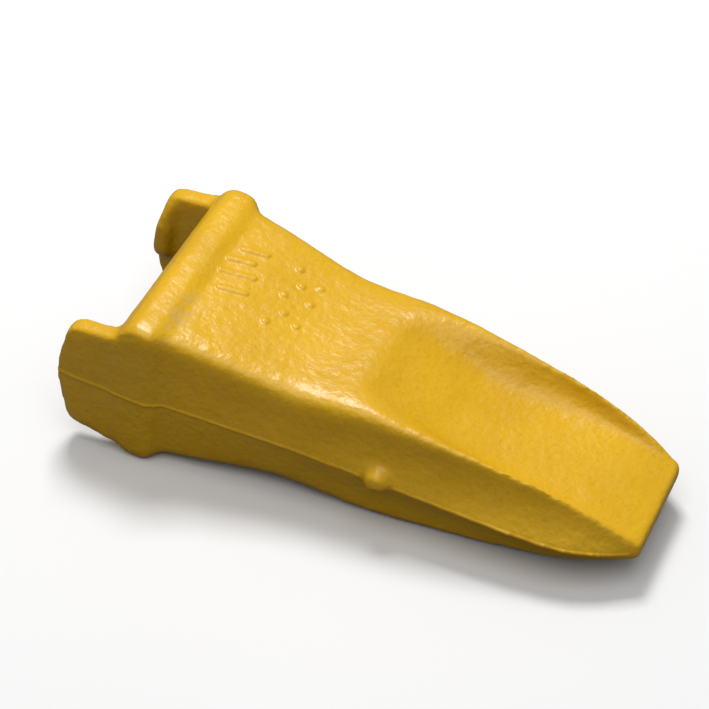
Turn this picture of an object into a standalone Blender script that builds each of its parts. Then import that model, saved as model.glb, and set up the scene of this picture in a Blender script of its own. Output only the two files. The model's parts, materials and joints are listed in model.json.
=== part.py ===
"""Excavator bucket tooth with its side retaining pin and spring ring.

Metres, +Z up. The tooth's own frame has X along the tooth from the socket mouth towards the cutting edge,
Y across it and Z up from the parting plane. An empty tips that frame until the tooth rests on a floor, the
way a loose tooth lies: on its collar and on the heel of the blade. All sizes below are millimetres.
"""
import math

import bmesh
import bpy
from mathutils import Matrix, Vector

MM = 0.001

# Overall sizes
BLADE_LENGTH = 256.0  # socket mouth to cutting edge
EAR_REACH = 29.5  # socket mouth to the rearmost point of the ears
WIDTH = 115.0  # across the collar
COLLAR_HEIGHT = 86.0  # over the collar's ridge
MOUTH_HEIGHT = 69.0  # over the collar at the socket mouth

# Collar
MOUTH_ROUND = 5.0  # the mouth's outer edge rounds over this length
MOUTH_ROUND_RISE = 0.75  # share of the rise to the ridge that is done by then
RIDGE_START = 10.0
RIDGE_END = 17.0
RIDGE_FALL = 0.5
COLLAR_END = 24.5
COLLAR_STEP = 4.6  # how far the body's side stands inside the collar's
COLLAR_SHOULDER_INSET = 0.4
COLLAR_SHOULDER_REACH = 7.0

# Body and blade
VALLEY_RISE = 41.0  # body height just ahead of the collar, above the parting plane
BODY_SHOULDER_INSET = 1.5
TIP_HALF_WIDTH = 28.4
TIP_THICKNESS = 9.5
TIP_DROP = 3.6  # how far the cutting edge's middle sits below the parting plane
DROP_START = 0.45  # share of the blade after which it begins to drop
DISH_START = 108.0  # from the socket mouth
LOWER_AT_COLLAR = 0.91  # depth below the parting plane, as a share of the height above it

# Ears
EAR_HALF_HEIGHT = 32.5
EAR_ROOT_HALF_HEIGHT = 36.5
EAR_THICKNESS = 10.2
EAR_SUNK = 0.8  # how far the ear's outer face stands inside the collar's
EAR_CORNER_RADIUS = 8.0
EAR_CORNER_BACK = 4.8  # how far the ear's top corner stands ahead of its rearmost point
EAR_ROOT = 8.0  # how far the ear runs forward into the collar
EAR_EDGE_ROUND = 3.5
LIP_REACH = 6.5  # how far the lip stands in from the ear's inner face
LIP_FRONT = 10.0  # lip's front face, ahead of the ear's rearmost point
LIP_LOW = -9.0
LIP_TOP_BELOW = 3.0  # lip's upper end, below the ear's top edge
LIP_SUNK = 3.0  # how deep the lip's root is buried in the ear
LIP_FOOT_SUNK = 0.4  # how far the lip's two ends die into the ear
LIP_BACK_INSET = 0.6  # lip's rear face, ahead of the ear's
LIP_LEAST_DEPTH = 5.0
LIP_CHAMFER = 1.5

# Socket for the adapter's nose
SOCKET_DEPTH = 98.0
SOCKET_MOUTH_HALF_HEIGHT = 26.0
SOCKET_END_HALF_WIDTH = 31.0
SOCKET_END_HALF_HEIGHT = 12.0
SOCKET_CORNER_RADIUS = 9.0
SOCKET_CORNER_SHARE = 0.7  # the corner radius is at most this share of the end's half height
SOCKET_SIDE_STEP = 1.0  # how far the mouth's side stands in from the ear's inner face
SOCKET_OVERRUN = 4.0  # how far the cutter runs out behind the mouth

# Retaining pin, its bore and its spring ring
PIN_DIAMETER = 18.0
PIN_SETBACK = 2.0  # pin's axis behind the socket mouth
PIN_CLEARANCE = 0.4  # on the radius, to the bore and to the sprung-open ring
PIN_END_GAP = 0.5
PIN_CHAMFER = 1.2
PIN_LAND = 0.8  # full-width metal between the groove and the near end's chamfer
PIN_RECESS = 1.5  # far end below the ear's outer face
RING_SECTION = 6.0  # radial
RING_THICKNESS = 4.0
RING_GAP = 5.0
RING_CLEARANCE = 0.5
RING_CHAMFER = 0.6
RING_SLOT_OVERSIZE = 2.0  # the slot's cutter against the ring's section
GROOVE_DEPTH = 1.3
GROOVE_SIDE_PLAY = 0.5

# Feeder nub on the parting line
NUB_FROM_MOUTH = 133.0
NUB_RADIUS = 6.8
NUB_HEIGHT = 1.0  # its middle above the parting plane
NUB_REACH = 4.6  # beyond the parting edge
NUB_DOME = 2.6
NUB_ROOT = 14.0
NUB_OUTLINE = [(0, 0), (0.55, 0.25), (0.85, 1.0), (1, 2.2)]  # (share of its radius, fall in domes)

CUT_OVERRUN = 10.0  # how far the bore and seat cutters run out past a face
LEG_SHARE = 0.45  # most of a section's side that the round at one of its ends may take up

# Fineness of the solids
COLLAR_STEPS = 4
BODY_STEPS = 9
DISH_STEPS = 21
ROUND_STEPS = 48
EAR_EDGE_STEPS = 3
EAR_EDGE_ANGLE = 60  # degrees; sharper edges of the ear are rounded
SHARP_ANGLE = 35  # degrees; edges sharper than this are shaded sharp
ARC_STEPS = 8

# How each measure runs along the blade: (share from the collar to the cutting edge, value). A share of 1 is
# the value at the collar and 0 the value at the cutting edge.
HALF_WIDTH_RUN = [(0, 1), (0.15, 0.92), (0.32, 0.85), (0.5, 0.85), (0.68, 0.835), (0.77, 0.81), (0.85, 0.735),
                  (0.93, 0.455), (1, 0)]
SHOULDER_WIDTH_RUN = [(0, 1), (0.07, 0.92), (0.155, 0.81), (0.24, 0.705), (0.33, 0.65), (0.41, 0.59),
                      (0.5, 0.51), (0.67, 0.355), (0.85, 0.19), (1, 0)]
HEIGHT_RUN = [(0, 1), (0.07, 0.94), (0.16, 0.83), (0.24, 0.745), (0.29, 0.725), (0.41, 0.785), (0.5, 0.765),
              (0.59, 0.71), (0.76, 0.57), (0.85, 0.43), (0.93, 0.23), (1, 0)]
LOWER_RUN = [(0, LOWER_AT_COLLAR), (0.15, 0.92), (0.32, 0.98), (0.5, 0.98), (1, 0.96)]
DROP_RUN = [(0, 0), (0.25, 0.06), (0.5, 0.26), (0.75, 0.57), (1, 1)]

# The dish: (share from its start to the cutting edge, value in millimetres)
DISH_DROP_RUN = [(0, 0), (0.03, 0.8), (0.11, 5.2), (0.22, 10.6), (0.37, 15.4), (0.49, 15.6), (0.62, 14.6),
                 (0.76, 10.8), (0.89, 5.2), (1, 0)]
RIM_DROP_RUN = [(0, 0), (0.11, 1.2), (0.22, 3.4), (0.37, 5.4), (0.49, 6.2), (0.62, 8.4), (0.72, 8.2),
                (0.87, 5.0), (1, 0)]
DISH_HALF_WIDTH_RUN = [(0, 21.5), (0.09, 22.8), (0.21, 23.2), (0.3, 23.4), (0.45, 24.6), (0.61, 26.0),
                       (0.76, 27.2), (0.87, 27.0), (1, 25.5)]
RIM_HALF_WIDTH_RUN = [(0, 25.5), (0.07, 27.6), (0.14, 30.2), (0.27, 32.4), (0.4, 33.6), (0.52, 33.6),
                      (0.62, 32.8), (0.72, 31.4), (0.87, 28.6), (1, 26.8)]

# Section rounding: (share along the blade, millimetres)
SHOULDER_REACH_RUN = [(0, 8.0), (0.3, 8.0), (0.5, 6.0), (0.7, 3.5), (1, 0.8)]
FLANK_HOLLOW_RUN = [(0, 0), (0.3, 1.0), (0.5, 4.5), (0.75, 5.5), (0.93, 1.5), (1, 0)]
FLOOR_REACH_RUN = [(0, 1.0), (0.3, 7.0), (1, 4.0)]
RIM_REACH = 3.0

# The lip: (share of its height, share of its full reach)
LIP_RUN = [(0, 0), (0.08, 0.75), (0.18, 1.0), (0.6, 1.0), (0.8, 0.72), (0.94, 0.35), (1, 0)]

HALF_WIDTH = WIDTH / 2
EAR_OUTSIDE = HALF_WIDTH - EAR_SUNK
EAR_INSIDE = EAR_OUTSIDE - EAR_THICKNESS
BODY_HALF_WIDTH = HALF_WIDTH - COLLAR_STEP
BODY_SHOULDER_HALF_WIDTH = BODY_HALF_WIDTH - BODY_SHOULDER_INSET
RIDGE_RISE = COLLAR_HEIGHT / (1 + LOWER_AT_COLLAR)
MOUTH_RISE = MOUTH_HEIGHT / (1 + LOWER_AT_COLLAR)
TIP_RISE = TIP_THICKNESS / (1 + LOWER_RUN[-1][1])
PIN_RADIUS = PIN_DIAMETER / 2
BORE_RADIUS = PIN_RADIUS + PIN_CLEARANCE
RING_INNER = PIN_RADIUS + PIN_CLEARANCE
RING_OUTER = RING_INNER + RING_SECTION
SEAT_RADIUS = RING_OUTER + RING_CLEARANCE
GROOVE_HIGH = -EAR_INSIDE + GROOVE_SIDE_PLAY
GROOVE_LOW = GROOVE_HIGH - RING_THICKNESS - 2 * GROOVE_SIDE_PLAY
PIN_LOW = GROOVE_LOW - PIN_LAND - PIN_CHAMFER
BORE_END = PIN_LOW - PIN_END_GAP
SEAT_DEPTH = RING_THICKNESS + RING_CLEARANCE

# Colour, roughness and metalness
ENAMEL = ((0.73, 0.39, 0.014), 0.35, 0.0)
PIN_STEEL = ((0.32, 0.32, 0.33), 0.38, 1.0)
SPRING_STEEL = ((0.10, 0.10, 0.11), 0.45, 1.0)


def smooth(run, place):
    """The height at place of the smooth curve through the run's points, without overshoot."""
    last = len(run) - 1
    slopes = [(run[i + 1][1] - run[i][1]) / (run[i + 1][0] - run[i][0]) for i in range(last)]

    def tangent(i):
        if i in (0, last):
            return slopes[0 if i == 0 else -1]
        before, after = slopes[i - 1], slopes[i]
        return 2 * before * after / (before + after) if before * after > 0 else 0.0

    place = min(max(place, run[0][0]), run[-1][0])
    i = max(k for k in range(last) if run[k][0] <= place)
    span = run[i + 1][0] - run[i][0]
    t = (place - run[i][0]) / span
    h00 = (1 + 2 * t) * (1 - t) ** 2
    h10 = t * (1 - t) ** 2
    h01 = t * t * (3 - 2 * t)
    h11 = t * t * (t - 1)
    return h00 * run[i][1] + h10 * span * tangent(i) + h01 * run[i + 1][1] + h11 * span * tangent(i + 1)


def between(run, at_collar, at_tip, share):
    """A measure that runs from at_collar to at_tip along the blade."""
    return at_tip + (at_collar - at_tip) * smooth(run, share)


def rounded(before, corner, after, reach, steps):
    """Points of the round that replaces a corner, each leg giving up at most reach."""
    before, corner, after = Vector(before), Vector(corner), Vector(after)
    first, second = before - corner, after - corner
    start = corner + first * min(reach / max(first.length, 1e-6), LEG_SHARE)
    end = corner + second * min(reach / max(second.length, 1e-6), LEG_SHARE)
    points = []
    for i in range(steps + 1):
        t = i / steps
        points.append(start * (1 - t) ** 2 + corner * 2 * t * (1 - t) + end * t * t)
    return points


def quarter(section):
    """Upper right quarter of a section, from the middle of the top to the parting edge."""
    width, shoulder, height, floor, floor_drop, rim, rim_drop, floor_reach, reach, hollow = section
    middle = (0.0, height - floor_drop)
    floor_edge = (floor, height - floor_drop)
    rim_edge = (rim, height - rim_drop)
    top_edge = (shoulder, height)
    part_edge = (width, 0.0)
    points = [Vector(middle), Vector((floor / 2, middle[1]))]
    points += rounded(middle, floor_edge, rim_edge, floor_reach, 3)
    points += rounded(floor_edge, rim_edge, top_edge, RIM_REACH, 2)
    points += rounded(rim_edge, top_edge, part_edge, reach, 4)
    start = points[-1]
    belly = (start + Vector(part_edge)) / 2 - Vector((hollow, 0.0))
    for i in range(1, 5):
        t = i / 5
        points.append(start * (1 - t) ** 2 + belly * 2 * t * (1 - t) + Vector(part_edge) * t * t)
    points.append(Vector(part_edge))
    return points


def collar_section(x):
    """The collar rises from the mouth to its ridge, then falls to the body."""
    rounded_over = MOUTH_RISE + (RIDGE_RISE - MOUTH_RISE) * MOUTH_ROUND_RISE
    rise = [(0, MOUTH_RISE), (MOUTH_ROUND, rounded_over), (RIDGE_START, RIDGE_RISE),
            (RIDGE_END, RIDGE_RISE - RIDGE_FALL), (COLLAR_END, VALLEY_RISE)]
    side = [(0, HALF_WIDTH), (RIDGE_END, HALF_WIDTH), (COLLAR_END, BODY_HALF_WIDTH)]
    edge = HALF_WIDTH - COLLAR_SHOULDER_INSET
    shoulder = [(0, edge), (RIDGE_END, edge), (COLLAR_END, BODY_SHOULDER_HALF_WIDTH)]
    floor = DISH_HALF_WIDTH_RUN[0][1]
    rim = RIM_HALF_WIDTH_RUN[0][1]
    return (smooth(side, x), smooth(shoulder, x), smooth(rise, x), floor, 0.0, rim, 0.0,
            FLOOR_REACH_RUN[0][1], COLLAR_SHOULDER_REACH, 0.0)


def along_blade(x):
    return max(0.0, (x - COLLAR_END) / (BLADE_LENGTH - COLLAR_END))


def blade_section(x):
    share = along_blade(x)
    dish = max(0.0, (x - DISH_START) / (BLADE_LENGTH - DISH_START))
    return (
        between(HALF_WIDTH_RUN, BODY_HALF_WIDTH, TIP_HALF_WIDTH, share),
        between(SHOULDER_WIDTH_RUN, BODY_SHOULDER_HALF_WIDTH, TIP_HALF_WIDTH, share),
        between(HEIGHT_RUN, VALLEY_RISE, TIP_RISE, share),
        smooth(DISH_HALF_WIDTH_RUN, dish),
        smooth(DISH_DROP_RUN, dish),
        smooth(RIM_HALF_WIDTH_RUN, dish),
        smooth(RIM_DROP_RUN, dish),
        smooth(FLOOR_REACH_RUN, share),
        smooth(SHOULDER_REACH_RUN, share),
        smooth(FLANK_HOLLOW_RUN, share),
    )


def drop_at(x):
    """How far the section's middle sits below the parting plane."""
    return TIP_DROP * smooth(DROP_RUN, (x / BLADE_LENGTH - DROP_START) / (1 - DROP_START))


def stations():
    """Where the body's sections stand, closer together where its shape changes faster."""
    steps = COLLAR_STEPS
    places = [RIDGE_START * i / steps for i in range(steps + 1)]
    places += [RIDGE_END + (COLLAR_END - RIDGE_END) * i / steps for i in range(steps + 1)]
    places += [COLLAR_END + (DISH_START - COLLAR_END) * i / BODY_STEPS for i in range(1, BODY_STEPS + 1)]
    places += [DISH_START + (BLADE_LENGTH - DISH_START) * i / DISH_STEPS for i in range(1, DISH_STEPS + 1)]
    return places


def section_at(x):
    return collar_section(x) if x <= COLLAR_END else blade_section(x)


def loft(name, rings):
    """A closed solid through rings of points that all have the same count."""
    bm = bmesh.new()
    loops = [[bm.verts.new(Vector(point) * MM) for point in ring] for ring in rings]
    count = len(loops[0])
    for ring, following in zip(loops, loops[1:]):
        for i in range(count):
            k = (i + 1) % count
            bm.faces.new((ring[i], ring[k], following[k], following[i]))
    bm.faces.new(loops[0])
    bm.faces.new(list(reversed(loops[-1])))
    bmesh.ops.recalc_face_normals(bm, faces=bm.faces)
    if bm.calc_volume(signed=True) < 0:
        bmesh.ops.reverse_faces(bm, faces=bm.faces)
    return object_from(bm, name)


def object_from(bm, name):
    mesh = bpy.data.meshes.new(name)
    bm.to_mesh(mesh)
    bm.free()
    return bpy.data.objects.new(name, mesh)


def body_solid():
    """The tooth's outer shape without its ears."""
    rings = []
    for x in stations():
        upper = quarter(section_at(x))
        lower = smooth(LOWER_RUN, along_blade(x))
        right = upper + [Vector((p.x, -p.y * lower)) for p in reversed(upper[:-1])]
        left = [Vector((-p.x, p.y)) for p in reversed(right[1:-1])]
        rings.append([(x, p.x, p.y - drop_at(x)) for p in right + left])
    return loft("body", rings)


def arc(centre, radius, start, end, steps):
    """Points of an arc, its angles in degrees."""
    points = []
    for i in range(steps + 1):
        angle = math.radians(start + (end - start) * i / steps)
        points.append((centre[0] + radius * math.cos(angle), centre[1] + radius * math.sin(angle)))
    return points


def rear_bulge():
    """The arc that the ear's rear edge follows, as its centre's X and its radius."""
    corner_x = -EAR_REACH + EAR_CORNER_BACK
    corner_z = EAR_HALF_HEIGHT - EAR_CORNER_RADIUS
    radius = (EAR_CORNER_BACK ** 2 + corner_z ** 2) / (2 * EAR_CORNER_BACK)
    return -EAR_REACH + radius, radius, corner_x, corner_z


def ear_outline():
    """The ear from the side: a bulged rear edge with round corners, and a straight root in the collar."""
    bulge_x, bulge_radius, corner_x, corner_z = rear_bulge()
    turn = math.degrees(math.asin(corner_z / bulge_radius))
    corner = (corner_x + EAR_CORNER_RADIUS * math.cos(math.radians(turn)), corner_z)
    upper = [(EAR_ROOT, EAR_ROOT_HALF_HEIGHT)]
    upper += arc(corner, EAR_CORNER_RADIUS, 90, 180 - turn, ARC_STEPS)
    upper += arc((bulge_x, 0.0), bulge_radius, 180 - turn, 180, ARC_STEPS)[1:]
    return upper + [(x, -z) for x, z in reversed(upper[:-1])]


def extruded(name, outline, low, high):
    """A flat outline in X and Z, filled and given its thickness along Y."""
    curve = bpy.data.curves.new(name, "CURVE")
    curve.dimensions = "2D"
    curve.fill_mode = "BOTH"
    curve.extrude = (high - low) / 2 * MM
    spline = curve.splines.new("POLY")
    spline.points.add(len(outline) - 1)
    for point, (x, z) in zip(spline.points, outline):
        point.co = (x * MM, z * MM, 0.0, 1.0)
    spline.use_cyclic_u = True
    source = bpy.data.objects.new(name, curve)
    bpy.context.scene.collection.objects.link(source)
    source.matrix_world = Matrix.Translation((0, (low + high) / 2 * MM, 0)) @ Matrix.Rotation(
        math.radians(90), 4, "X")
    bpy.context.view_layer.update()
    mesh = bpy.data.meshes.new_from_object(source.evaluated_get(bpy.context.evaluated_depsgraph_get()))
    mesh.transform(source.matrix_world)
    bpy.data.objects.remove(source)
    bm = bmesh.new()
    bm.from_mesh(mesh)
    bmesh.ops.remove_doubles(bm, verts=bm.verts, dist=1e-6)
    bmesh.ops.recalc_face_normals(bm, faces=bm.faces)
    return object_from(bm, name)


def ear_solid(name, side):
    """One ear, its edges rounded all the way round."""
    low, high = sorted((side * EAR_INSIDE, side * EAR_OUTSIDE))
    ear = extruded(name, ear_outline(), low, high)
    bevel = ear.modifiers.new("Edges", "BEVEL")
    bevel.width = EAR_EDGE_ROUND * MM
    bevel.segments = EAR_EDGE_STEPS
    bevel.limit_method = "ANGLE"
    bevel.angle_limit = math.radians(EAR_EDGE_ANGLE)
    mesh = settled_mesh(ear)
    return bpy.data.objects.new(name, mesh)


def lip_solid(name, side):
    """The inward lip along an ear's rear edge, fullest above the parting plane."""
    bulge_x, bulge_radius, _, _ = rear_bulge()
    high = EAR_HALF_HEIGHT - LIP_TOP_BELOW
    root = EAR_INSIDE + LIP_SUNK
    rings = []
    for height, fullness in LIP_RUN:
        z = LIP_LOW + (high - LIP_LOW) * height
        behind = bulge_x - math.sqrt(bulge_radius ** 2 - z ** 2) + LIP_BACK_INSET
        past_corner = max(0.0, z - EAR_HALF_HEIGHT + EAR_CORNER_RADIUS)
        behind += past_corner ** 2 / (2 * EAR_CORNER_RADIUS)
        ahead = max(-EAR_REACH + LIP_FRONT, behind + LIP_LEAST_DEPTH)
        inside = EAR_INSIDE + LIP_FOOT_SUNK - (LIP_REACH + LIP_FOOT_SUNK) * fullness
        chamfered = inside + LIP_CHAMFER
        ring = [(behind, root), (behind, chamfered), (behind + LIP_CHAMFER, inside),
                (ahead - LIP_CHAMFER, inside), (ahead, chamfered), (ahead, root)]
        rings.append([(x, side * y, z) for x, y in ring])
    return loft(name, rings)


def turned(name, profile):
    """A solid turned about Y from (radius, place along Y) points, listed from its top end down."""
    bm = bmesh.new()
    verts = [bm.verts.new((radius * MM, 0.0, along * MM)) for radius, along in profile]
    for first, second in zip(verts, verts[1:]):
        bm.edges.new((first, second))
    piece = object_from(bm, name)
    screw = piece.modifiers.new("Turn", "SCREW")
    screw.steps = ROUND_STEPS
    screw.render_steps = ROUND_STEPS
    screw.use_merge_vertices = True
    screw.merge_threshold = 0.00001
    screw.use_smooth_shade = True
    mesh = settled_mesh(piece)
    mesh.transform(Matrix.Rotation(math.radians(-90), 4, "X"))
    return bpy.data.objects.new(name, mesh)


def settled_mesh(piece):
    """The piece's mesh with its modifiers applied; the piece itself is removed."""
    bpy.context.scene.collection.objects.link(piece)
    bpy.context.view_layer.update()
    mesh = bpy.data.meshes.new_from_object(piece.evaluated_get(bpy.context.evaluated_depsgraph_get()))
    mesh.name = piece.name
    bpy.data.objects.remove(piece)
    return mesh


def rod(name, radius, low, high):
    """A plain round rod along Y on the pin's axis."""
    piece = turned(name, [(0.0, high), (radius, high), (radius, low), (0.0, low)])
    piece.location = (-PIN_SETBACK * MM, 0.0, 0.0)
    return piece


def nub_solid():
    """The stub left where the metal was fed in, a low dome on the near parting edge."""
    reach = blade_section(NUB_FROM_MOUTH)[0] + NUB_REACH
    profile = [(NUB_RADIUS * out, reach - NUB_DOME * fall) for out, fall in NUB_OUTLINE]
    profile += [(NUB_RADIUS, reach - NUB_ROOT), (0.0, reach - NUB_ROOT)]
    nub = turned("nub", profile)
    nub.data.transform(Matrix.Rotation(math.radians(180), 4, "Z"))
    nub.location = (NUB_FROM_MOUTH * MM, 0.0, NUB_HEIGHT * MM)
    return nub


def socket_solid():
    """The adapter nose's taper, with rounded corners, run out behind the mouth."""
    def ring(x):
        share = x / SOCKET_DEPTH
        mouth_half_width = EAR_INSIDE - SOCKET_SIDE_STEP
        half_width = mouth_half_width + (SOCKET_END_HALF_WIDTH - mouth_half_width) * max(share, 0.0)
        half_height = SOCKET_MOUTH_HALF_HEIGHT + (SOCKET_END_HALF_HEIGHT - SOCKET_MOUTH_HALF_HEIGHT) * share
        radius = min(SOCKET_CORNER_RADIUS, SOCKET_CORNER_SHARE * SOCKET_END_HALF_HEIGHT)
        points = []
        for quadrant, (side, level) in enumerate([(1, 1), (-1, 1), (-1, -1), (1, -1)]):
            centre = (side * (half_width - radius), level * (half_height - radius))
            points += arc(centre, radius, 90 * quadrant, 90 * quadrant + 90, ARC_STEPS // 2)
        return [(x, y, z) for y, z in points]

    return loft("socket", [ring(-SOCKET_OVERRUN), ring(0.0), ring(SOCKET_DEPTH)])


def boolean(target, tool, operation):
    modifier = target.modifiers.new(tool.name, "BOOLEAN")
    modifier.operation = operation
    modifier.solver = "EXACT"
    modifier.object = tool


def material(name, colour, roughness, metallic):
    made = bpy.data.materials.new(name)
    made.use_nodes = True
    shader = made.node_tree.nodes["Principled BSDF"]
    shader.inputs["Base Color"].default_value = (*colour, 1.0)
    shader.inputs["Roughness"].default_value = roughness
    shader.inputs["Metallic"].default_value = metallic
    return made


def finish(piece, made):
    piece.data.materials.clear()
    piece.data.materials.append(made)
    piece.data.shade_smooth()
    piece.data.set_sharp_from_angle(angle=math.radians(SHARP_ANGLE))


def make_casting(parts, cutters):
    """The one-piece cast tooth: body, ears, lips and nub joined, then the socket and the bores cut."""
    casting = body_solid()
    casting.name = "tooth_casting"
    parts.objects.link(casting)
    joined = [nub_solid()]
    for side, label in ((-1, "near"), (1, "far")):
        joined.append(ear_solid("ear_" + label, side))
        joined.append(lip_solid("lip_" + label, side))
    cut = [socket_solid()]
    cut.append(rod("bore", BORE_RADIUS, BORE_END, HALF_WIDTH + CUT_OVERRUN))
    cut.append(rod("ring_seat", SEAT_RADIUS, -EAR_INSIDE - SEAT_DEPTH, -EAR_INSIDE + CUT_OVERRUN))
    for tool in joined + cut:
        cutters.objects.link(tool)
        tool.hide_render = True
        tool.display_type = "WIRE"
    for tool in joined:
        boolean(casting, tool, "UNION")
    for tool in cut:
        boolean(casting, tool, "DIFFERENCE")
    finish(casting, material("yellow_enamel", *ENAMEL))
    return casting


def make_pin(parts):
    """The retaining pin, with chamfered ends and the groove that the ring snaps into."""
    high = EAR_OUTSIDE - PIN_RECESS
    waist = PIN_RADIUS - GROOVE_DEPTH
    neck = PIN_RADIUS - PIN_CHAMFER
    profile = [(0.0, high), (neck, high), (PIN_RADIUS, high - PIN_CHAMFER), (PIN_RADIUS, GROOVE_HIGH),
               (waist, GROOVE_HIGH), (waist, GROOVE_LOW), (PIN_RADIUS, GROOVE_LOW),
               (PIN_RADIUS, PIN_LOW + PIN_CHAMFER), (neck, PIN_LOW), (0.0, PIN_LOW)]
    pin = turned("retaining_pin", profile)
    pin.location = (-PIN_SETBACK * MM, 0.0, 0.0)
    parts.objects.link(pin)
    finish(pin, material("pin_steel", *PIN_STEEL))
    return pin


def make_ring(parts, cutters):
    """The split spring ring in the near ear's seat, at the size it springs open to when the pin passes."""
    high = -EAR_INSIDE - RING_CLEARANCE / 2
    low = high - RING_THICKNESS
    edge = RING_CHAMFER
    profile = [(RING_INNER + edge, high), (RING_OUTER - edge, high), (RING_OUTER, high - edge),
               (RING_OUTER, low + edge), (RING_OUTER - edge, low), (RING_INNER + edge, low),
               (RING_INNER, low + edge), (RING_INNER, high - edge), (RING_INNER + edge, high)]
    ring = turned("retainer_ring", profile)
    ring.location = (-PIN_SETBACK * MM, 0.0, 0.0)
    parts.objects.link(ring)
    bm = bmesh.new()
    bmesh.ops.create_cube(bm, size=1.0)
    middle = (RING_INNER + RING_OUTER) / 2
    radial = RING_SLOT_OVERSIZE * RING_SECTION
    along = RING_SLOT_OVERSIZE * RING_THICKNESS
    bmesh.ops.scale(bm, verts=bm.verts, vec=(radial * MM, along * MM, RING_GAP * MM))
    bmesh.ops.translate(bm, verts=bm.verts, vec=(-middle * MM, (low + high) / 2 * MM, 0.0))
    slot = object_from(bm, "ring_slot")
    slot.location = ring.location
    slot.hide_render = True
    slot.display_type = "WIRE"
    cutters.objects.link(slot)
    boolean(ring, slot, "DIFFERENCE")
    finish(ring, material("spring_steel", *SPRING_STEEL))
    return ring


def resting_pitch():
    """How far the tooth tips nose-down until its heel meets the floor, and its collar stays on it."""
    def underside(x):
        return -section_at(x)[2] * smooth(LOWER_RUN, along_blade(x)) - drop_at(x)

    feet = [x for x in stations() if x <= COLLAR_END]
    heels = [x for x in stations() if x > COLLAR_END]
    return max(
        min(math.atan2(underside(heel) - underside(foot), heel - foot) for heel in heels) for foot in feet)


def settle(frame, casting):
    """Tips the frame, then moves it so that the box's bottom middle is the origin."""
    frame.rotation_euler = (0.0, resting_pitch(), 0.0)
    bpy.context.view_layer.update()
    solid = casting.evaluated_get(bpy.context.evaluated_depsgraph_get())
    corners = [solid.matrix_world @ vert.co for vert in solid.data.vertices]
    middle_x = (min(c.x for c in corners) + max(c.x for c in corners)) / 2
    frame.location = (-middle_x, 0.0, -min(c.z for c in corners))


def main():
    for old in list(bpy.data.objects):
        bpy.data.objects.remove(old)
    scene = bpy.context.scene
    parts = bpy.data.collections.new("bucket_tooth")
    cutters = bpy.data.collections.new("cutters")
    scene.collection.children.link(parts)
    scene.collection.children.link(cutters)
    frame = bpy.data.objects.new("tooth_frame", None)
    scene.collection.objects.link(frame)
    casting = make_casting(parts, cutters)
    make_pin(parts)
    make_ring(parts, cutters)
    for piece in list(parts.objects) + list(cutters.objects):
        piece.parent = frame
    settle(frame, casting)


main()
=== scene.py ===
"""Cast steel bucket tooth in yellow enamel, with its cross pin and spring ring, on a pale studio floor."""
import json
import math

import bmesh
import bpy
from mathutils import Matrix, Vector, noise


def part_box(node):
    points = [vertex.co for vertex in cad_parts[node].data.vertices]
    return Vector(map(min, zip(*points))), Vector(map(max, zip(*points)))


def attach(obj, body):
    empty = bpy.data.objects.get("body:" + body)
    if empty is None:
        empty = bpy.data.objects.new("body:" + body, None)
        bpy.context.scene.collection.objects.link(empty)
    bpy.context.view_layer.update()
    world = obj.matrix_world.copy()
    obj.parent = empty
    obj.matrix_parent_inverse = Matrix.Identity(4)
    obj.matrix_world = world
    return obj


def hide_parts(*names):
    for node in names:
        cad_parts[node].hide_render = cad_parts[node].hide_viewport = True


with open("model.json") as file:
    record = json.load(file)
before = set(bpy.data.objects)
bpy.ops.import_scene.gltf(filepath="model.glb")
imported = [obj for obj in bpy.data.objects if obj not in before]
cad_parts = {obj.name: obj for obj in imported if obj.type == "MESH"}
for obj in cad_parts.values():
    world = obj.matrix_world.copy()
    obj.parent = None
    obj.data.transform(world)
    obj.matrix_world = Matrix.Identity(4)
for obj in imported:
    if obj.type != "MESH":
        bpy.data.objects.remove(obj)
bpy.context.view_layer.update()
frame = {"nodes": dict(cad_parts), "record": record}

MM = 0.001


# ---------------------------------------------------------------- the tooth's own axes, from its mounts
seat = next(m for m in frame["record"]["mounts"] if m["name"] == "nose_seat")
FORWARD = -Vector(seat["axis"]).normalized()
ACROSS = Vector((0.0, 1.0, 0.0))
UPWARD = FORWARD.cross(ACROSS)
SOCKET_DEPTH = 98.0
MOUTH = Vector(seat["pos_m"]) - FORWARD * SOCKET_DEPTH * MM


def on_tooth(along, side, height):
    """A place given in millimetres from the middle of the socket's mouth."""
    return MOUTH + (FORWARD * along + ACROSS * side + UPWARD * height) * MM


def tooth_place(point):
    """Where a point is on the tooth, in millimetres along, across and up."""
    offset = (point - MOUTH) / MM
    return offset.dot(FORWARD), offset.dot(ACROSS), offset.dot(UPWARD)


# ---------------------------------------------------------------- helpers
def new_piece(bm, name):
    mesh = bpy.data.meshes.new(name)
    bm.to_mesh(mesh)
    bm.free()
    piece = bpy.data.objects.new(name, mesh)
    bpy.context.scene.collection.objects.link(piece)
    return piece


def apply_modifiers(piece):
    """Bakes the piece's modifiers into its mesh."""
    bpy.context.view_layer.update()
    settled = bpy.data.meshes.new_from_object(piece.evaluated_get(bpy.context.evaluated_depsgraph_get()))
    piece.modifiers.clear()
    piece.data = settled
    settled.name = piece.name


def soften(bm, verts, times, factor=0.5):
    for _ in range(times):
        bmesh.ops.smooth_vert(bm, verts=verts, factor=factor,
                              use_axis_x=True, use_axis_y=True, use_axis_z=True)


def ease(value, low, high):
    t = min(max((value - low) / (high - low), 0.0), 1.0)
    return t * t * (3 - 2 * t)


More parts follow.
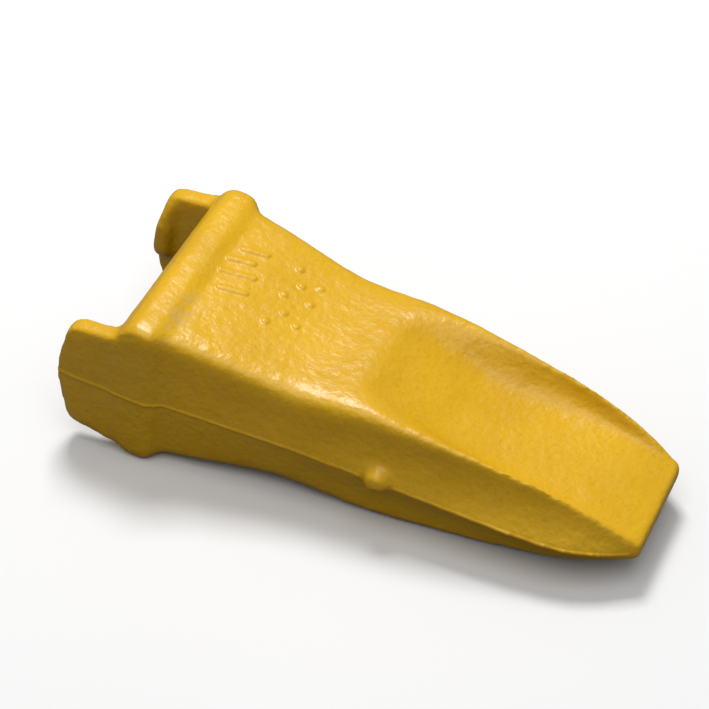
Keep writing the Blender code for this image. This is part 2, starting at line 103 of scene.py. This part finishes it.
# ---------------------------------------------------------------- materials
class Paintbox:
    """A material's node tree, with short calls for the nodes that the finishes share."""

    def __init__(self, name):
        self.material = bpy.data.materials.new(name)
        self.material.use_nodes = True
        self.tree = self.material.node_tree
        self.shader = self.tree.nodes["Principled BSDF"]
        self.place = self.tree.nodes.new("ShaderNodeTexCoord").outputs["Object"]

    def join(self, source, socket):
        self.tree.links.new(source, socket)

    def moved(self, location=(0, 0, 0), scale=(1, 1, 1)):
        node = self.tree.nodes.new("ShaderNodeMapping")
        node.inputs["Location"].default_value = location
        node.inputs["Scale"].default_value = scale
        self.join(self.place, node.inputs["Vector"])
        return node.outputs["Vector"]

    def grain(self, scale, detail=4.0, roughness=0.5, vector=None):
        node = self.tree.nodes.new("ShaderNodeTexNoise")
        node.inputs["Scale"].default_value = scale
        node.inputs["Detail"].default_value = detail
        node.inputs["Roughness"].default_value = roughness
        self.join(vector or self.place, node.inputs["Vector"])
        return node.outputs["Fac"]

    def ramp(self, value, *stops):
        node = self.tree.nodes.new("ShaderNodeValToRGB")
        band = node.color_ramp
        while len(band.elements) < len(stops):
            band.elements.new(0.5)
        for element, (at, colour) in zip(band.elements, stops):
            element.position = at
            element.color = (*colour, 1.0) if isinstance(colour, tuple) else (colour, colour, colour, 1.0)
        self.join(value, node.inputs["Fac"])
        return node.outputs["Color"]

    def mix(self, amount, first, second):
        node = self.tree.nodes.new("ShaderNodeMix")
        node.data_type = "RGBA"
        for value, socket in ((amount, node.inputs[0]), (first, node.inputs[6]), (second, node.inputs[7])):
            if isinstance(value, (int, float)):
                socket.default_value = value
            elif isinstance(value, tuple):
                socket.default_value = (*value, 1.0)
            else:
                self.join(value, socket)
        return node.outputs[2]

    def sums(self, operation, first, second):
        node = self.tree.nodes.new("ShaderNodeMath")
        node.operation = operation
        for value, socket in ((first, node.inputs[0]), (second, node.inputs[1])):
            if isinstance(value, (int, float)):
                socket.default_value = value
            else:
                self.join(value, socket)
        return node.outputs[0]

    def near(self, centre, reach):
        """1 at a place on the object, falling to 0 at reach, in metres."""
        moved = self.moved(location=tuple(-c / r for c, r in zip(centre, reach)),
                           scale=tuple(1 / r for r in reach))
        node = self.tree.nodes.new("ShaderNodeTexGradient")
        node.gradient_type = "SPHERICAL"
        self.join(moved, node.inputs["Vector"])
        return node.outputs["Fac"]

    def relief(self, height, depth, strength, under=None):
        node = self.tree.nodes.new("ShaderNodeBump")
        node.inputs["Distance"].default_value = depth
        node.inputs["Strength"].default_value = strength
        self.join(height, node.inputs["Height"])
        if under:
            self.join(under, node.inputs["Normal"])
        return node.outputs["Normal"]

    def set(self, **values):
        for name, value in values.items():
            socket = self.shader.inputs[name.replace("_", " ")]
            if isinstance(value, (int, float, tuple)):
                socket.default_value = value
            else:
                self.join(value, socket)


def yellow_enamel():
    """Yellow enamel over sand-cast steel: hammered grain, thin paint in places, dust, and a tan highlight
    painted on the near top of the collar.
    """
    box = Paintbox("yellow_enamel")
    clouds = box.grain(22.0, 3.0)
    colour = box.ramp(clouds, (0.30, (0.66, 0.365, 0.004)), (0.50, (0.71, 0.398, 0.005)),
                      (0.72, (0.75, 0.428, 0.006)))
    speckle = box.grain(520.0, 3.0, 0.6)
    thin = box.ramp(speckle, (0.34, 0.24), (0.46, 0.0))
    colour = box.mix(thin, colour, (0.46, 0.25, 0.007))
    dust = box.sums("MULTIPLY", box.ramp(box.grain(38.0, 5.0, 0.65), (0.52, 0.0), (0.74, 1.0)),
                    box.ramp(box.grain(310.0, 3.0, 0.6), (0.44, 0.0), (0.64, 0.22)))
    colour = box.mix(dust, colour, (0.60, 0.42, 0.10))
    # Painted highlight: a patchy tan laid on the near top of the collar, where light reflects off it; the
    # same patch is also made rougher.
    highlight_place = box.near(tuple(on_tooth(22, -34, 41)), (0.009, 0.024, 0.010))
    highlight_break = box.ramp(box.grain(190.0, 5.0, 0.7), (0.44, 0.0), (0.62, 1.0))
    painted_highlight = box.sums("MULTIPLY", box.ramp(highlight_place, (0.05, 0.0), (0.60, 0.45)), highlight_break)
    colour = box.mix(painted_highlight, colour, (0.46, 0.34, 0.16))
    hammered = box.grain(300.0, 1.5, 0.45)
    peel = box.grain(900.0, 2.0, 0.5)
    waves = box.grain(120.0, 3.0, 0.5)
    shine = box.ramp(waves, (0.30, 0.30), (0.70, 0.40))
    shine = box.mix(box.sums("MAXIMUM", painted_highlight, dust), shine, (0.60, 0.60, 0.60))
    normal = box.relief(waves, 0.0014, 0.36)
    normal = box.relief(hammered, 0.0008, 0.42, normal)
    normal = box.relief(peel, 0.00016, 0.45, normal)
    box.set(Base_Color=colour, Roughness=shine, Normal=normal, Metallic=0.0, IOR=1.46, Coat_Weight=0.06,
            Coat_Roughness=0.22)
    return box.material


def pin_steel():
    """Turned bar: fine tool marks round the pin, a little oil stain."""
    box = Paintbox("pin_steel")
    turns = box.grain(60.0, 3.0, 0.6, box.moved(scale=(0.6, 60.0, 0.6)))
    stain = box.grain(70.0, 5.0, 0.6)
    colour = box.ramp(stain, (0.35, (0.20, 0.185, 0.165)), (0.55, (0.36, 0.355, 0.345)),
                      (0.8, (0.44, 0.44, 0.435)))
    shine = box.ramp(turns, (0.3, 0.26), (0.7, 0.46))
    normal = box.relief(turns, 0.00008, 0.5)
    box.set(Base_Color=colour, Roughness=shine, Normal=normal, Metallic=1.0)
    return box.material


def spring_steel():
    """Oil-tempered spring steel: dark, with a brown and blue bloom."""
    box = Paintbox("spring_steel")
    bloom = box.grain(120.0, 4.0, 0.6)
    colour = box.ramp(bloom, (0.3, (0.055, 0.055, 0.065)), (0.55, (0.10, 0.098, 0.10)),
                      (0.75, (0.16, 0.13, 0.10)))
    grit = box.grain(900.0, 3.0, 0.6)
    shine = box.ramp(grit, (0.3, 0.36), (0.7, 0.52))
    normal = box.relief(grit, 0.00006, 0.5)
    box.set(Base_Color=colour, Roughness=shine, Normal=normal, Metallic=1.0)
    return box.material


def studio_floor_paper():
    """White paper that throws back less light than it shows, so the tooth's lower side stays dark."""
    box = Paintbox("studio_floor_paper")
    shown = box.ramp(box.grain(3.0, 2.0), (0.3, (0.84, 0.84, 0.84)), (0.7, (0.86, 0.86, 0.86)))
    seen = box.tree.nodes.new("ShaderNodeLightPath").outputs["Is Camera Ray"]
    box.set(Base_Color=box.mix(seen, (0.16, 0.15, 0.14), shown), Roughness=0.9)
    return box.material


# ---------------------------------------------------------------- sizes of the solids, in millimetres
BLADE_LENGTH = 256.0
EAR_INSIDE = 46.5  # inner face of an ear, from the middle
PIN_SETBACK = 2.0  # pin's axis behind the socket's mouth
BORE_RADIUS = 9.45
BORE_BLIND_END = -53.6  # inside the near ear
BORE_OPEN_END = 66.0  # clear of the far ear
SEAT_RADIUS = 15.95  # the ring's seat
SEAT_DEPTH = 4.6
SEAT_OVERRUN = 6.0
PIN_RADIUS = 9.0
GROOVE_HIGH = -46.0  # the ring's groove, its side towards the middle
GROOVE_WIDTH = 5.0
RING_INNER = 9.4
RING_OUTER = 15.4
RING_EDGE = 0.6
RING_HALF_GAP = 2.55

# ---------------------------------------------------------------- the casting
PARTING_DIP = 3.6  # how far the parting line has dipped at the cutting edge
PARTING_DIP_START = 0.45
NUB_ALONG = 133.0
NUB_DIMPLE = 1.3
SKIN = 1.5  # grid of the remeshed skin, millimetres
LINE_RISE = 0.5  # how proud the parting line stands
BAR_RISE = 0.85
PIP_RISE = 0.80
EARS_END = -6  # the ears lie behind this, along the tooth
BLADE_START = 110

MARK_BARS = (  # (along, across) of each end, millimetres
    ((30, -6), (42, -3)), ((26, 4), (41, 8)), ((26, 13), (37, 16)), ((29, 22), (40, 25)),
)
MARK_PIPS = ((57, -12), (62, -2), (57, 8), (62, 18), (57, 27), (70, -6), (70, 10), (70, 22))


def parting_height(along):
    share = max(0.0, (along / BLADE_LENGTH - PARTING_DIP_START) / (1 - PARTING_DIP_START))
    return -PARTING_DIP * share * share


def distance_to_bar(bar, along, across):
    (a, b), (c, d) = bar
    run = Vector((c - a, d - b))
    offset = Vector((along - a, across - b))
    t = min(max(offset.dot(run) / run.length_squared, 0.0), 1.0)
    return (offset - run * t).length


def mark_height(along, across):
    """How proud of the skin the moulder's marks stand here: plain bars and round pips."""
    bar = min(distance_to_bar(bar, along, across) for bar in MARK_BARS)
    pip = min(math.hypot(along - a, across - b) for a, b in MARK_PIPS)
    return max(BAR_RISE * (1 - ease(bar, 0.8, 2.3)), PIP_RISE * (1 - ease(pip, 0.9, 2.7)))


def cast_skin():
    """The casting's skin on an even grid, its sharpest edges taken off."""
    bm = bmesh.new()
    bm.from_mesh(frame["nodes"]["tooth_casting"].data)
    bmesh.ops.remove_doubles(bm, verts=bm.verts, dist=1e-6)
    casting = new_piece(bm, "enamelled_tooth_casting")
    skin = casting.modifiers.new("Skin", "REMESH")
    skin.mode = "VOXEL"
    skin.voxel_size = SKIN * MM
    apply_modifiers(casting)
    return casting


def near_nub(along, across):
    return across < 0 and abs(along - NUB_ALONG) < 8.5


def flat_parts(bm):
    """Vertices well away from the casting's edges, its parting line and its nub."""
    edgy = {v for e in bm.edges if e.calc_face_angle(0.0) > math.radians(10) for v in e.verts}
    for _ in range(2):
        edgy |= {e.other_vert(v) for v in edgy for e in v.link_edges}
    for vert in bm.verts:
        along, across, height = tooth_place(vert.co)
        sided = abs(vert.normal.y) > 0.5
        parting = sided and abs(height - parting_height(along)) < 2.6
        nub = sided and near_nub(along, across) and abs(height) < 12
        if parting or nub or -3 < along < 30:
            edgy.add(vert)
    return [v for v in bm.verts if v not in edgy]


def is_marked(along, across, height, normal):
    """True on the part of the top that holds the moulder's marks."""
    return 20 < along < 76 and -18 < across < 33 and normal.z > 0.8 and height > 28


def fine_parts(bm):
    """Edges where the marks and the parting line need a finer skin."""
    chosen = []
    for edge in bm.edges:
        along, across, height = tooth_place((edge.verts[0].co + edge.verts[1].co) / 2)
        normal = edge.verts[0].normal
        marked = is_marked(along, across, height, normal)
        side = abs(height - parting_height(along)) < 2.8 and abs(normal.y) > 0.5 and across * normal.y > 0
        outside = abs(across) > 27 and (along > 12 or abs(across) > 54)
        if marked or (side and outside):
            chosen.append(edge)
    return chosen


def dress_skin(bm):
    """Raises the marks and the parting line, and gives the skin its sand-cast unevenness."""
    moves = []
    for vert in bm.verts:
        along, across, height = tooth_place(vert.co)
        lift = 0.16 * noise.noise(vert.co * 90) + 0.09 * noise.noise(vert.co * 260)
        if is_marked(along, across, height, vert.normal):
            lift += mark_height(along, across)
        if abs(vert.normal.y) > 0.5 and across * vert.normal.y > 0 and abs(across) > 27:
            off = height - parting_height(along)
            if (along > 12 or abs(across) > 54) and not near_nub(along, across) and along < 252:
                lift += LINE_RISE * (1 - ease(abs(off), 0.3, 1.3))
            lift -= LINE_RISE * ease(abs(across), 55.0, 56.5)
            if across < 0:
                dimple = math.hypot(along - NUB_ALONG - 1.5, height + 3.2)
                lift -= NUB_DIMPLE * (1 - ease(dimple, 0.8, 3.4))
        moves.append((vert, vert.normal * lift * MM))
    for vert, move in moves:
        vert.co += move


def keep_inside(bm, lowest, highest):
    """Holds the skin within a box."""
    for vert in bm.verts:
        for axis in range(3):
            vert.co[axis] = min(max(vert.co[axis], lowest[axis]), highest[axis])


def round_cutter(name, radius, low, high):
    """A round bar along the pin's axis, for boring the casting to size."""
    bm = bmesh.new()
    bmesh.ops.create_cone(bm, cap_ends=True, segments=96, radius1=radius * MM, radius2=radius * MM,
                          depth=(high - low) * MM)
    bmesh.ops.rotate(bm, verts=bm.verts, cent=(0, 0, 0), matrix=Matrix.Rotation(math.radians(90), 3, "X"))
    bmesh.ops.translate(bm, verts=bm.verts, vec=on_tooth(-PIN_SETBACK, (low + high) / 2, 0))
    return new_piece(bm, name)


def bore(casting, *cutters):
    for cutter in cutters:
        cut = casting.modifiers.new(cutter.name, "BOOLEAN")
        cut.operation = "DIFFERENCE"
        cut.solver = "EXACT"
        cut.object = cutter
    apply_modifiers(casting)
    for cutter in cutters:
        bpy.data.objects.remove(cutter)


def make_casting():
    casting = cast_skin()
    bm = bmesh.new()
    bm.from_mesh(casting.data)
    soften(bm, bm.verts, 2)
    bm.normal_update()
    soften(bm, flat_parts(bm), 12)
    soften(bm, [v for v in bm.verts if tooth_place(v.co)[0] < EARS_END], 7)
    soften(bm, [v for v in bm.verts if tooth_place(v.co)[0] > BLADE_START], 3)
    bm.normal_update()
    bmesh.ops.subdivide_edges(bm, edges=fine_parts(bm), cuts=2, use_grid_fill=True)
    bm.normal_update()
    soften(bm, bm.verts, 1, 0.4)
    bm.normal_update()
    dress_skin(bm)
    keep_inside(bm, *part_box("tooth_casting"))
    bm.to_mesh(casting.data)
    bm.free()
    bore(casting, round_cutter("bore_tool", BORE_RADIUS, BORE_BLIND_END, BORE_OPEN_END),
         round_cutter("seat_tool", SEAT_RADIUS, -EAR_INSIDE - SEAT_DEPTH, -EAR_INSIDE + SEAT_OVERRUN))
    casting.data.shade_smooth()
    casting.data.set_sharp_from_angle(angle=math.radians(50))
    casting.data.materials.clear()
    casting.data.materials.append(yellow_enamel())
    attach(casting, "tooth")
    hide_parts("tooth_casting")
    return casting


# ---------------------------------------------------------------- the pin and its ring
def turned_round(name, outline, steps, angle=360.0, start=0.0):
    """A round piece about the pin's axis, from (radius, across) points in millimetres."""
    bm = bmesh.new()
    verts = [bm.verts.new((radius * MM, across * MM, 0.0)) for radius, across in outline]
    edges = [bm.edges.new(pair) for pair in zip(verts, verts[1:])]
    if angle < 360.0:
        edges.append(bm.edges.new((verts[-1], verts[0])))
        bmesh.ops.contextual_create(bm, geom=verts + edges)
    bmesh.ops.rotate(bm, verts=bm.verts, cent=(0, 0, 0), matrix=Matrix.Rotation(math.radians(start), 3, "Y"))
    geometry = bm.verts[:] + bm.edges[:] + bm.faces[:]
    bmesh.ops.spin(bm, geom=geometry, cent=(0, 0, 0), axis=(0, 1, 0), dvec=(0, 0, 0),
                   angle=math.radians(angle), steps=steps, use_merge=angle >= 360.0, use_duplicate=False)
    bmesh.ops.remove_doubles(bm, verts=bm.verts, dist=1e-6)
    bmesh.ops.recalc_face_normals(bm, faces=bm.faces)
    bmesh.ops.translate(bm, verts=bm.verts, vec=on_tooth(-PIN_SETBACK, 0, 0))
    return new_piece(bm, name)


def finish_round(piece, material, body, node):
    piece.data.shade_smooth()
    piece.data.set_sharp_from_angle(angle=math.radians(32))
    piece.data.materials.append(material)
    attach(piece, body)
    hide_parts(node)


def make_pin():
    lowest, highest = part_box("retaining_pin")
    low, high = lowest[1] / MM, highest[1] / MM
    groove_low = GROOVE_HIGH - GROOVE_WIDTH
    full = PIN_RADIUS
    end = [(full, 1.4), (full - 0.12, 1.05), (full - 1.0, 0.12), (full - 1.3, 0.0)]  # chamfer, softened
    drill = [(1.7, 0.0), (0.9, 0.9), (0.0, 1.8)]  # the lathe's centre drilling
    groove = [(full, -0.3), (full - 0.2, 0.0), (full - 1.1, 0.1), (full - 1.3, 0.4)]
    outline = [(radius, high - inward) for radius, inward in reversed(end + drill)]
    outline += [(radius, GROOVE_HIGH - inward) for radius, inward in groove]
    outline += [(radius, groove_low + inward) for radius, inward in reversed(groove)]
    outline += [(radius, low + inward) for radius, inward in end + drill]
    pin = turned_round("turned_cross_pin", outline, 96)
    finish_round(pin, pin_steel(), "pin", "retaining_pin")


def make_ring():
    lowest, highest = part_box("retainer_ring")
    low, high = lowest[1] / MM, highest[1] / MM
    edge = RING_EDGE
    inner, outer = RING_INNER + edge, RING_OUTER - edge
    outline = []
    for radius, across, turn in ((inner, high - edge, 90), (outer, high - edge, 0),
                                 (outer, low + edge, -90), (inner, low + edge, -180)):
        for step in range(4):
            angle = math.radians(turn + 90 - 30 * step)
            outline.append((radius + edge * math.cos(angle), across + edge * math.sin(angle)))
    gap = math.degrees(2 * math.asin(RING_HALF_GAP / ((RING_INNER + RING_OUTER) / 2)))
    ring = turned_round("split_spring_ring", outline, 90, 360.0 - gap, 180.0 + gap / 2)
    finish_round(ring, spring_steel(), "ring", "retainer_ring")


# ---------------------------------------------------------------- studio
def make_floor():
    bm = bmesh.new()
    bmesh.ops.create_grid(bm, x_segments=8, y_segments=8, size=6.0)
    floor = new_piece(bm, "studio_floor")
    floor.data.materials.append(studio_floor_paper())


def softbox(name, direction, distance, size, power):
    light = bpy.data.lights.new(name, "AREA")
    light.shape = "SQUARE"
    light.size = size
    light.energy = power
    lamp = bpy.data.objects.new(name, light)
    lamp.location = Vector(direction).normalized() * distance
    lamp.rotation_euler = Vector(direction).to_track_quat("Z", "Y").to_euler()
    bpy.context.scene.collection.objects.link(lamp)


def make_studio():
    make_floor()
    softbox("back_softbox", (-0.21, 0.31, 0.93), 1.5, 0.42, 15.0)
    softbox("overhead_softbox", (0.10, -0.30, 1.0), 2.4, 1.8, 20.0)
    world = bpy.data.worlds.new("studio_air")
    world.use_nodes = True
    world.node_tree.nodes["Background"].inputs["Color"].default_value = (1.0, 1.0, 1.0, 1.0)
    world.node_tree.nodes["Background"].inputs["Strength"].default_value = 0.27
    bpy.context.scene.world = world
    bpy.context.scene.view_settings.view_transform = "Standard"


AIM = Vector((-0.02225, 0.02135, 0.035))
CAMERA_AZIMUTH = math.radians(22.81)
CAMERA_ELEVATION = math.radians(44.43)
CAMERA_ROLL = math.radians(1.68)
CAMERA_DISTANCE = 1.251
CAMERA_LENS = 132.0


def make_camera():
    turn, rise = CAMERA_AZIMUTH, CAMERA_ELEVATION
    right = Vector((math.cos(turn), math.sin(turn), 0.0))
    ahead = Vector((-math.sin(turn) * math.cos(rise), math.cos(turn) * math.cos(rise), -math.sin(rise)))
    up = right.cross(ahead)
    rolled_right = right * math.cos(CAMERA_ROLL) + up * math.sin(CAMERA_ROLL)
    rolled_up = up * math.cos(CAMERA_ROLL) - right * math.sin(CAMERA_ROLL)
    camera = bpy.data.objects.new("camera", bpy.data.cameras.new("camera"))
    camera.data.sensor_width = 36.0
    camera.data.lens = CAMERA_LENS
    camera.data.clip_end = 50.0
    basis = Matrix((rolled_right, rolled_up, -ahead)).transposed()
    camera.matrix_world = Matrix.Translation(AIM - ahead * CAMERA_DISTANCE) @ basis.to_4x4()
    bpy.context.scene.collection.objects.link(camera)
    bpy.context.scene.camera = camera


make_camera()
make_casting()
make_pin()
make_ring()
make_studio()
